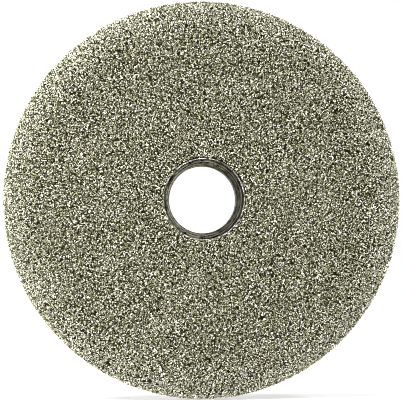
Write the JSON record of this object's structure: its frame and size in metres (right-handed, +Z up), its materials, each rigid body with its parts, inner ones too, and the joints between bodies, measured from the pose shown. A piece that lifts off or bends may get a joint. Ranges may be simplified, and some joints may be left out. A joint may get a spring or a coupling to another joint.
{
  "type": "diamond grinding wheel",
  "caption": "Flat round grinding wheel with a diamond-plated face and rounded rim, and a removable bush in its arbor bore.",
  "frame": {"origin": "the wheel's centre: on its axis, halfway through its thickness", "axes": "+Y along the wheel's axis, from the working face to the back; the working face looks towards -Y; +Z up"},
  "size_m": [0.15, 0.012, 0.15],
  "materials": {
    "body_metal": "turned on a lathe, with fine concentric tool marks",
    "nickel": "matt electroplated nickel, pimpled between the crystals",
    "diamond": "coarse khaki-grey synthetic diamond crystals that glitter",
    "bush_metal": "dark turned steel with concentric tool marks"
  },
  "bodies": {
    "wheel": {"wheel_body": "body_metal", "nickel_bond": "nickel", "diamond_grit": "diamond"},
    "bush": {"arbor_bush": "bush_metal"}
  },
  "joints": [
    {"name": "bush_slide", "type": "slide", "parent": "wheel", "child": "bush", "axis": [0, -1, 0], "range_m": [0, 0.025]}
  ]
}
